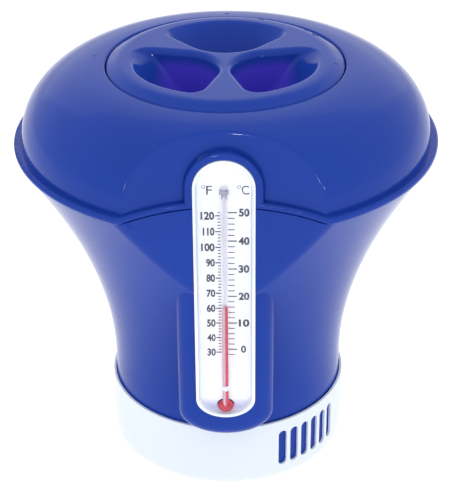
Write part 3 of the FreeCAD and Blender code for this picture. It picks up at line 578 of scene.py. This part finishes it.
class MESH_OT_printed_scale(bpy.types.Operator):
    """Prints the two scales, their numbers and their units on the card"""

    bl_idname = "dispenser.printed_scale"
    bl_label = "Printed scale"

    def execute(self, context):
        s = sizes()
        deselect()
        marks = []
        for degrees in range(30, 124, 2):
            major = degrees % 10 == 0
            left = FAHRENHEIT_LONG_TICK if major else FAHRENHEIT_SHORT_TICK
            thick = s.tick_thickness * (1.0 if major else SHORT_TICK_SHARE)
            marks.append(tick(left, FAHRENHEIT_TICK_END, fahrenheit_height(degrees), thick))
        for degrees in range(-2, 52, 2):
            major = degrees % 10 == 0
            right = CELSIUS_LONG_TICK if major else CELSIUS_SHORT_TICK
            thick = s.tick_thickness * (1.0 if major else SHORT_TICK_SHARE)
            marks.append(tick(CELSIUS_TICK_START, right, celsius_height(degrees), thick))
        for degrees in range(30, 121, 10):
            digits = str(degrees)
            narrower = FAHRENHEIT_LAST_GAP + NARROW_ONE * max(0, digits.count("1") - 1)
            wide = s.digit_width * len(digits) - narrower
            marks.append(lettering(digits, FAHRENHEIT_DIGITS_END, fahrenheit_height(degrees),
                                   s.digit_height, wide, DIGIT_WEIGHT))
        for degrees in range(0, 51, 10):
            digits = str(degrees)
            wide = s.celsius_digit_width * len(digits) - CELSIUS_LAST_GAP
            right = CELSIUS_DIGITS_END if degrees else CELSIUS_ZERO_END
            marks.append(lettering(digits, right, celsius_height(degrees),
                                   s.digit_height, wide, DIGIT_WEIGHT))
        unit_z = celsius_height(50) + UNITS_ABOVE_FIFTY
        # each unit's letter, its right edge, its width, and how far back its ring stands
        for letter, right, wide, ring_gap in (("F", -4.8, 2.4, 3.6), ("C", 10.2, 3.0, 4.0)):
            marks.append(lettering(letter, right * MM, unit_z, s.unit_height, wide * MM, 0.0))
            marks.append(degree_ring((right - ring_gap) * MM, unit_z + DEGREE_RING_RISE))
        scale = settle(joined(marks), "printed_scale", printing_ink(), smooth_deg=0)
        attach(scale, "float")
        return {"FINISHED"}


def degree_ring(x, z):
    """The small ring of a degree sign."""
    bpy.ops.mesh.primitive_torus_add(
        major_radius=0.65 * MM, minor_radius=0.12 * MM, major_segments=24, minor_segments=6,
        location=(x, card_front() - sizes().ink_thickness / 2, z), rotation=(math.pi / 2, 0, 0))
    sign = bpy.context.object
    put_place_in_mesh()
    # flattened towards the card, to the thickness of the print
    sign.data.transform(Matrix.Translation((0, -card_front(), 0)))
    sign.data.transform(Matrix.Diagonal((1, 0.2, 1, 1)))
    sign.data.transform(Matrix.Translation((0, card_front(), 0)))
    return sign


# ---- finishes of the pieces that the frame already shapes ----
class OBJECT_OT_float_shells(bpy.types.Operator):
    """Dresses the two shells and the lid in blue polypropylene"""

    bl_idname = "dispenser.float_shells"
    bl_label = "Float shells"

    def execute(self, context):
        blue = polypropylene_blue()
        wear("upper_shell", blue)
        wear("lower_shell", blue)
        wear("lid", polypropylene_blue_deep())
        return {"FINISHED"}


class OBJECT_OT_inner_parts(bpy.types.Operator):
    """Dresses the dosing cup, the tablet tube, the grate and the seals"""

    bl_idname = "dispenser.inner_parts"
    bl_label = "Cup, tube, grate and seals"

    def execute(self, context):
        white = polypropylene_white()
        rubber = nitrile_rubber()
        wear("dosing_cup", white)
        wear("tablet_grate", white)
        wear("tablet_tube", polypropylene_natural())
        for node in ("tube_top_seal", "tube_bottom_seal", "lid_seal"):
            wear(node, rubber)
        return {"FINISHED"}


class OBJECT_OT_thermometer(bpy.types.Operator):
    """Dresses the thermometer's tray, card and glass tube"""

    bl_idname = "dispenser.thermometer"
    bl_label = "Thermometer"

    def execute(self, context):
        wear("thermometer_tray", polystyrene_white())
        wear("scale_card", coated_card())
        wear("glass_tube", drawn_glass())
        return {"FINISHED"}


class MESH_OT_clear_cover(bpy.types.Operator):
    """Makes the cover from the frame's own: its flat front is clear, and its walls look white"""

    bl_idname = "dispenser.clear_cover"
    bl_label = "Clear cover"

    def execute(self, context):
        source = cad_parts["thermometer_lens"]
        pick(source)
        bpy.ops.object.duplicate()
        cover = bpy.context.object
        # corners that lie together are merged, so that the copy shades as one skin
        bpy.ops.object.mode_set(mode="EDIT")
        bpy.ops.mesh.select_all(action="SELECT")
        bpy.ops.mesh.remove_doubles(threshold=0.002 * MM)
        bpy.ops.object.mode_set(mode="OBJECT")
        settle(cover, "clear_cover", clear_polystyrene(), smooth_deg=30)
        cover.data.materials.append(light_guiding_polystyrene())
        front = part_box("thermometer_lens")[0].y
        front_depth = 1.2 * MM  # both sides of the front wall lie within this of its face
        for face in cover.data.polygons:
            flat = abs(face.normal.y) > 0.9 and face.center.y < front + front_depth
            face.material_index = 0 if flat else 1
        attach(cover, "float")
        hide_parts("thermometer_lens")
        return {"FINISHED"}


class MESH_OT_bulb_strap(bpy.types.Operator):
    """Models the white strap that wraps the tube above the bulb"""

    bl_idname = "dispenser.bulb_strap"
    bl_label = "Bulb strap"

    def execute(self, context):
        low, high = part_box("lower_tube_strap")
        drop = 0.7 * MM  # it sits this much lower than the plain one
        deselect()
        middle = Vector((0, (tube_front() + card_front()) / 2, (low.z + high.z) / 2 - drop))
        bpy.ops.mesh.primitive_cylinder_add(
            vertices=32, radius=1.5 * MM, depth=high.z - low.z, location=middle)
        strap = bpy.context.object
        strap.scale = (1.0, 0.95, 1.0)  # a little flatter than round
        put_place_in_mesh()
        select_faces(strap, lambda centre, normal: abs(normal.z) > 0.9)
        bpy.ops.mesh.bevel(offset=0.25 * MM, segments=3)
        bpy.ops.object.mode_set(mode="OBJECT")
        settle(strap, "bulb_strap", polystyrene_white())
        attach(strap, "float")
        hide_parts("lower_tube_strap")
        return {"FINISHED"}


def spirit_column():
    """The column as the tube magnifies it: a bar with rounded sides, closed by a domed top."""
    low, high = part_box("red_spirit")
    middle_y = (tube_front() + card_front()) / 2
    foot_z = low.z + 2.4 * MM  # the column's foot stands inside the bulb
    bpy.ops.mesh.primitive_cylinder_add(
        vertices=24, radius=sizes().column_half_width, depth=high.z - foot_z,
        location=(0, middle_y, (high.z + foot_z) / 2))
    column = bpy.context.object
    put_place_in_mesh()
    select_faces(column, lambda centre, normal: normal.z > 0.9)
    bpy.ops.mesh.inset(thickness=0.4 * MM)
    bpy.ops.transform.translate(value=(0, 0, 0.35 * MM))
    bpy.ops.object.mode_set(mode="OBJECT")
    bpy.ops.object.shade_smooth_by_angle(angle=math.radians(40))
    column.data.materials.append(dyed_spirit())
    return column


def spirit_bulb():
    """The red bulb, filled out to the glass."""
    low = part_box("glass_tube")[0]
    glass_half_depth, glass_half_height = 1.9 * MM, 3.0 * MM
    centre = Vector((0, low.y + glass_half_depth, low.z + glass_half_height))
    bpy.ops.mesh.primitive_uv_sphere_add(segments=32, ring_count=16, radius=1 * MM, location=centre)
    bulb = bpy.context.object
    bulb.scale = (3.42, 1.82, 2.92)  # its three half sizes, 0.08 mm inside the glass
    put_place_in_mesh()
    bpy.ops.object.mode_set(mode="EDIT")
    bpy.ops.mesh.select_all(action="SELECT")
    bpy.ops.mesh.subdivide(number_cuts=1, smoothness=1.0)
    bpy.ops.object.mode_set(mode="OBJECT")
    bpy.ops.object.shade_smooth()
    bulb.data.materials.append(dyed_spirit_bulb())
    return bulb


class MESH_OT_spirit(bpy.types.Operator):
    """Models the red spirit as it shows through the tube's lens front and the bulb"""

    bl_idname = "dispenser.spirit"
    bl_label = "Spirit"

    def execute(self, context):
        deselect()
        column = spirit_column()
        deselect()
        bulb = spirit_bulb()
        spirit = joined([column, bulb])
        spirit.name = "spirit"
        spirit.data.name = "spirit"
        put_place_in_mesh()
        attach(spirit, "float")
        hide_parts("red_spirit")
        return {"FINISHED"}


class MESH_OT_tube_clip(bpy.types.Operator):
    """Models the small clip at the tube's top end, a bar with two legs beside the tube"""

    bl_idname = "dispenser.tube_clip"
    bl_label = "Tube clip"

    def execute(self, context):
        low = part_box("upper_tube_strap")[0]
        bar_z = low.z + 0.5 * MM
        bar_width, bar_height = 3.9 * MM, 1.1 * MM
        leg_near, leg_far, leg_length = 0.7 * MM, 1.2 * MM, 2.3 * MM
        deselect()
        bpy.ops.mesh.primitive_cube_add(size=1, location=(0, (low.y + card_front()) / 2, bar_z))
        clip = bpy.context.object
        clip.scale = (bar_width, card_front() - low.y, bar_height)
        put_place_in_mesh()
        bpy.ops.object.mode_set(mode="EDIT")
        for cut in (-leg_far, -leg_near, leg_near, leg_far):
            bpy.ops.mesh.select_all(action="SELECT")
            bpy.ops.mesh.bisect(plane_co=(cut, 0, 0), plane_no=(1, 0, 0))
        bpy.ops.object.mode_set(mode="OBJECT")
        select_faces(clip, lambda centre, normal:
                     normal.z < -0.9 and leg_near < abs(centre.x) < leg_far)
        bpy.ops.mesh.extrude_region_move(TRANSFORM_OT_translate={"value": (0, 0, -leg_length)})
        bpy.ops.object.mode_set(mode="OBJECT")
        round_edges(clip, 0.15 * MM, segments=2, sharper_than_deg=30)
        settle(clip, "tube_clip", grey_polystyrene())
        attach(clip, "float")
        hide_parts("upper_tube_strap")
        return {"FINISHED"}


# ---- collar round the top of the thermometer ----
class MESH_OT_panel_collar(bpy.types.Operator):
    """Models the blue collar that stands round the top of the thermometer's panel"""

    bl_idname = "dispenser.panel_collar"
    bl_label = "Panel collar"

    def execute(self, context):
        low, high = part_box("thermometer_tray")
        half_width = (high.x - low.x) / 2
        inside = half_width + 0.1 * MM
        outside = inside + 3.2 * MM
        centre_z = high.z - half_width
        back = -64.4 * MM  # just inside the scooped wall of the niche
        depth = back - low.y
        deselect()
        bpy.ops.mesh.primitive_cylinder_add(
            vertices=96, radius=outside, depth=depth, location=(0, low.y + depth / 2, centre_z),
            rotation=(math.pi / 2, 0, 0))
        collar = bpy.context.object
        put_place_in_mesh()
        select_faces(collar, lambda centre, normal: abs(normal.y) > 0.9)
        bpy.ops.mesh.inset(thickness=outside - inside, use_individual=True)
        bpy.ops.mesh.bridge_edge_loops()
        bpy.ops.mesh.select_all(action="SELECT")
        bpy.ops.mesh.bisect(
            plane_co=(0, 0, centre_z), plane_no=(0, 0, 1), use_fill=True, clear_inner=True)
        bpy.ops.object.mode_set(mode="OBJECT")
        select_faces(collar, lambda centre, normal:
                     normal.z < -0.9 and abs(centre.z - centre_z) < 0.01 * MM)
        below_shell_top = 5.4 * MM  # the legs end this far below the top of the lower shell
        leg = centre_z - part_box("lower_shell")[1].z + below_shell_top
        bpy.ops.mesh.extrude_region_move(TRANSFORM_OT_translate={"value": (0, 0, -leg)})
        bpy.ops.mesh.select_all(action="SELECT")
        bpy.ops.mesh.normals_make_consistent(inside=False)
        bpy.ops.object.mode_set(mode="OBJECT")
        round_edges(collar, 0.9 * MM, segments=4, sharper_than_deg=50)
        settle(collar, "panel_collar", polypropylene_blue())
        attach(collar, "float")
        return {"FINISHED"}


# ---- moulded marks ----
def spot_on(node, radius, bearing_deg):
    """Place and normal on top of a node, at a radius and a bearing counted from +X."""
    turn = math.radians(bearing_deg)
    above = Vector((radius * math.cos(turn), radius * math.sin(turn), cad_high.z + 10 * MM))
    found, place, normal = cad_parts[node].ray_cast(above, Vector((0, 0, -1)))[:3]
    if not found:
        raise RuntimeError("no surface for a mark on " + node)
    return place, normal


def stand(mark, place, normal):
    """Puts a mark modelled round the origin on a surface, its +Y pointing outwards."""
    pick(mark)
    put_place_in_mesh()
    outward = Vector((place.x, place.y, 0)).normalized()
    side = outward.cross(normal).normalized()
    along = normal.cross(side)
    turned = Matrix((side, along, normal)).transposed().to_4x4()
    mark.data.transform(Matrix.Translation(place) @ turned)
    return mark


def mark_thickness():
    """Thickness of a flat mark, which is sunk into the surface to half of it."""
    return 2 * MARK_FLATNESS * sizes().mark_height


def padlock(shift):
    """A padlock about 3 mm high: a bevelled body and half a ring, moved aside when open."""
    ring_y = 0.3 * MM
    bpy.ops.mesh.primitive_cube_add(size=1, location=(0, -0.5 * MM, 0))
    body = bpy.context.object
    body.scale = (2.4 * MM, 1.8 * MM, mark_thickness())
    put_place_in_mesh()
    bpy.ops.object.mode_set(mode="EDIT")
    bpy.ops.mesh.bevel(offset=0.12 * MM, segments=2)
    bpy.ops.object.mode_set(mode="OBJECT")
    deselect()
    bpy.ops.mesh.primitive_torus_add(
        major_radius=0.8 * MM, minor_radius=0.24 * MM, major_segments=24, minor_segments=8,
        location=(shift, ring_y, 0))
    ring = bpy.context.object
    put_place_in_mesh()
    bpy.ops.object.mode_set(mode="EDIT")
    bpy.ops.mesh.bisect(
        plane_co=(0, ring_y, 0), plane_no=(0, 1, 0), use_fill=True, clear_inner=True)
    bpy.ops.object.mode_set(mode="OBJECT")
    return joined([body, ring])


def arrow_head():
    """A three-sided arrow head, about 2 mm long."""
    bpy.ops.mesh.primitive_cylinder_add(vertices=3, radius=1.2 * MM, depth=mark_thickness())
    head = bpy.context.object
    bpy.ops.object.mode_set(mode="EDIT")
    bpy.ops.mesh.bevel(offset=0.08 * MM, segments=1)
    bpy.ops.object.mode_set(mode="OBJECT")
    return head


def arc(radius, start_deg, end_deg, height):
    """A thin raised arc about the lid's axis, between two bearings."""
    bpy.ops.mesh.primitive_torus_add(
        major_radius=radius, minor_radius=sizes().mark_height, major_segments=180,
        minor_segments=8, location=(0, 0, height))
    line = bpy.context.object
    line.scale = (1, 1, MARK_FLATNESS)
    put_place_in_mesh()
    bpy.ops.object.mode_set(mode="EDIT")
    for bearing, side in ((start_deg, 1), (end_deg, -1)):
        turn = math.radians(bearing)
        onwards = (-side * math.sin(turn), side * math.cos(turn), 0)
        bpy.ops.mesh.select_all(action="SELECT")
        bpy.ops.mesh.bisect(
            plane_co=(0, 0, 0), plane_no=onwards, use_fill=True, clear_inner=True)
    bpy.ops.object.mode_set(mode="OBJECT")
    return line


class MESH_OT_moulded_marks(bpy.types.Operator):
    """Models the small raised locks and arrow on the lid and the pointer on the float"""

    bl_idname = "dispenser.moulded_marks"
    bl_label = "Moulded marks"

    def execute(self, context):
        deselect()
        blue = polypropylene_blue()
        marks = []
        for bearing, shift in ((CLOSED_LOCK_DEG, 0), (OPEN_LOCK_DEG, SHACKLE_SHIFT)):
            marks.append(stand(padlock(shift), *spot_on("lid", MARK_R, bearing)))
        place = spot_on("lid", MARK_R, ARC_MIDDLE_DEG)[0]
        deselect()
        marks.append(arc(MARK_R, *ARC_DEG, place.z))
        for bearing in ARROW_DEG:
            deselect()
            marks.append(stand(arrow_head(), *spot_on("lid", MARK_R, bearing)))
        on_lid = settle(joined(marks), "lid_marks", blue)
        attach(on_lid, "lid")
        pointers = []
        for bearing in POINTER_DEG:
            deselect()
            pointers.append(stand(arrow_head(), *spot_on("upper_shell", POINTER_R, bearing)))
        on_float = settle(joined(pointers), "float_pointers", blue)
        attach(on_float, "float")
        return {"FINISHED"}


# ---- studio ----
def camera():
    """The camera: about 0.7 m from the object's middle, looking 30 degrees down on it."""
    place = Vector((-0.00022, -0.60315, 0.44282))
    heading_deg, pitch_deg, roll_deg = 0.927, -30.104, -0.474
    data = bpy.data.cameras.new("studio_camera")
    data.sensor_width = 36.0
    data.lens = 109.4
    data.clip_start = 0.05
    data.clip_end = 20.0
    eye = bpy.data.objects.new("studio_camera", data)
    bpy.context.scene.collection.objects.link(eye)
    heading = Matrix.Rotation(math.radians(heading_deg), 4, "Z")
    pitch = Matrix.Rotation(math.radians(90 + pitch_deg), 4, "X")
    roll = Matrix.Rotation(math.radians(roll_deg), 4, "Z")
    eye.matrix_world = heading @ Matrix.Translation(place) @ pitch @ roll
    bpy.context.scene.camera = eye


def lamp(name, turn_deg, rise_deg, distance, width, height, power, only_gloss):
    """A rectangular lamp aimed at the object's middle, from a bearing counted from +X."""
    data = bpy.data.lights.new(name, "AREA")
    data.shape = "RECTANGLE"
    data.size = width
    data.size_y = height
    data.energy = power
    thing = bpy.data.objects.new(name, data)
    bpy.context.scene.collection.objects.link(thing)
    turn = math.radians(turn_deg)
    rise = math.radians(rise_deg)
    away = Vector((math.cos(rise) * math.cos(turn), math.cos(rise) * math.sin(turn), math.sin(rise)))
    thing.location = (cad_low + cad_high) / 2 + distance * away
    thing.rotation_euler = (-away).to_track_quat("-Z", "Y").to_euler()
    thing.visible_camera = False
    thing.visible_diffuse = not only_gloss


def white_surroundings():
    """An even white surround, as inside a light tent."""
    world = bpy.data.worlds.new("studio_world")
    world.use_nodes = True
    backdrop = world.node_tree.nodes["Background"]
    backdrop.inputs["Color"].default_value = (1.0, 1.0, 1.0, 1)
    backdrop.inputs["Strength"].default_value = 1.0
    bpy.context.scene.world = world


def opal_glass_table():
    """Opal glass lit from below: an even white, with next to no gloss of its own."""
    material, shader = new_material("opal_glass_table", IOR=1.45, Specular_IOR_Level=0.1,
                                    Emission_Strength=0.9)
    tint_over(material, shader, linear("#959595"), darker=0.99, lighter=1.0, patch_mm=500)
    shader.inputs["Emission Color"].default_value = (*linear("#FFFFFF"), 1)
    shader.inputs["Roughness"].default_value = 0.7
    return material


def studio_floor():
    """A white floor, lit from below so that it stays even."""
    bpy.ops.mesh.primitive_plane_add(size=6.0, location=(0, 0, cad_low.z))
    floor = bpy.context.object
    settle(floor, "studio_floor", opal_glass_table(), smooth_deg=0)


class OBJECT_OT_studio(bpy.types.Operator):
    """Sets the camera, the pale floor and the soft lights"""

    bl_idname = "dispenser.studio"
    bl_label = "Studio"

    def execute(self, context):
        deselect()
        camera()
        white_surroundings()
        studio_floor()
        lamp("back_softbox", turn_deg=92, rise_deg=30, distance=1.6,
             width=2.4, height=1.2, power=2.5, only_gloss=False)
        # two small bright lamps that only the gloss shows, along the edges of the niche
        lamp("left_spark", turn_deg=-98, rise_deg=10, distance=1.2,
             width=0.10, height=0.10, power=3.2, only_gloss=True)
        lamp("right_spark", turn_deg=-60, rise_deg=14, distance=1.2,
             width=0.07, height=0.07, power=1.6, only_gloss=True)
        bpy.context.scene.view_settings.view_transform = "Standard"
        return {"FINISHED"}


class VIEW3D_PT_dispenser(bpy.types.Panel):
    """Lists the dispenser's pieces and settings"""

    bl_idname = "VIEW3D_PT_dispenser"
    bl_label = "Dispenser"
    bl_space_type = "VIEW_3D"
    bl_region_type = "UI"
    bl_category = "Dispenser"

    def draw(self, context):
        column = self.layout.column(align=True)
        for operator in OPERATORS:
            column.operator(operator.bl_idname)
        for group in (context.scene.dispenser_sizes, context.scene.dispenser_colours):
            for name in group.bl_rna.properties.keys():
                if name not in ("rna_type", "name"):
                    column.prop(group, name)


OPERATORS = (
    OBJECT_OT_studio,
    OBJECT_OT_float_shells,
    OBJECT_OT_inner_parts,
    OBJECT_OT_thermometer,
    MESH_OT_clear_cover,
    MESH_OT_spirit,
    MESH_OT_tube_clip,
    MESH_OT_bulb_strap,
    MESH_OT_printed_scale,
    MESH_OT_panel_collar,
    MESH_OT_moulded_marks,
)
CLASSES = (DispenserSizes, DispenserColours) + OPERATORS + (VIEW3D_PT_dispenser,)


def register():
    for cls in CLASSES:
        bpy.utils.register_class(cls)
    bpy.types.Scene.dispenser_sizes = bpy.props.PointerProperty(type=DispenserSizes)
    bpy.types.Scene.dispenser_colours = bpy.props.PointerProperty(type=DispenserColours)


def unregister():
    del bpy.types.Scene.dispenser_colours
    del bpy.types.Scene.dispenser_sizes
    for cls in reversed(CLASSES):
        bpy.utils.unregister_class(cls)


def main():
    register()
    for operator in OPERATORS:
        group, name = operator.bl_idname.split(".")
        getattr(getattr(bpy.ops, group), name)()


if __name__ == "__main__":
    main()
